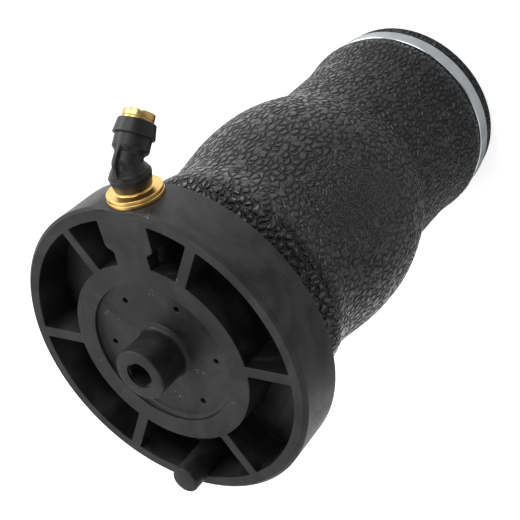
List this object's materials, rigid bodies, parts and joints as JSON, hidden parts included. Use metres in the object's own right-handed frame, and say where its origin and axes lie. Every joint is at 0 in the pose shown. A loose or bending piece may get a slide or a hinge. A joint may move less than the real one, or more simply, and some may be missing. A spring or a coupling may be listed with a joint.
{
  "type": "air suspension spring",
  "caption": "Air suspension spring with a ribbed moulded end plate, a textured rubber sleeve, crimped steel rings and a swivelling push-in air elbow.",
  "frame": {"origin": "centre of the lower thread's mouth, on the plane of the lower closure's foot", "axes": "+Z along the spring's axis from the lower closure to the end plate, +X along the air port"},
  "size_m": [0.1402, 0.114, 0.1952],
  "materials": {
    "nylon": "glass-filled nylon, satin black",
    "fitting_nylon": "moulded nylon, satin black",
    "sleeve_rubber": "pebbled rubber, dull black",
    "seal_rubber": "smooth rubber",
    "urethane": "foamed urethane",
    "zinc_steel": "bright zinc plating",
    "insert_steel": "plain steel",
    "spring_steel": "stainless spring steel",
    "brass": "turned bright brass"
  },
  "bodies": {
    "lower_end": {"lower_closure": "nylon", "lower_insert": "insert_steel", "lower_crimp_ring": "zinc_steel", "rubber_sleeve": "sleeve_rubber", "bump_stop": "urethane"},
    "top_end": {"top_plate": "nylon", "top_insert": "insert_steel", "upper_crimp_ring": "zinc_steel", "port_bush": "brass", "port_seal": "seal_rubber", "swivel_post": "brass", "swivel_seal": "seal_rubber"},
    "elbow": {"elbow_body": "fitting_nylon", "swivel_clip": "spring_steel", "tube_support": "brass", "tube_seal": "seal_rubber", "seal_spacer": "fitting_nylon", "grip_ring": "spring_steel", "collar": "fitting_nylon"},
    "collet": {"release_collet": "brass"}
  },
  "joints": [
    {"name": "suspension_stroke", "type": "slide", "parent": "lower_end", "child": "top_end", "axis": [0, 0, 1], "range_m": [-0.06, 0.01], "stiffness_N_per_m": 12000, "deforming": ["rubber_sleeve"]},
    {"name": "elbow_swivel", "type": "hinge", "parent": "top_end", "child": "elbow", "pos_m": [0.0622, 0, 0.1725], "axis": [1, 0, 0], "continuous": true},
    {"name": "collet_press", "type": "slide", "parent": "elbow", "child": "collet", "axis": [0.7071, 0, -0.7071], "range_m": [-0.0012, 0], "stiffness_N_per_m": 400}
  ]
}
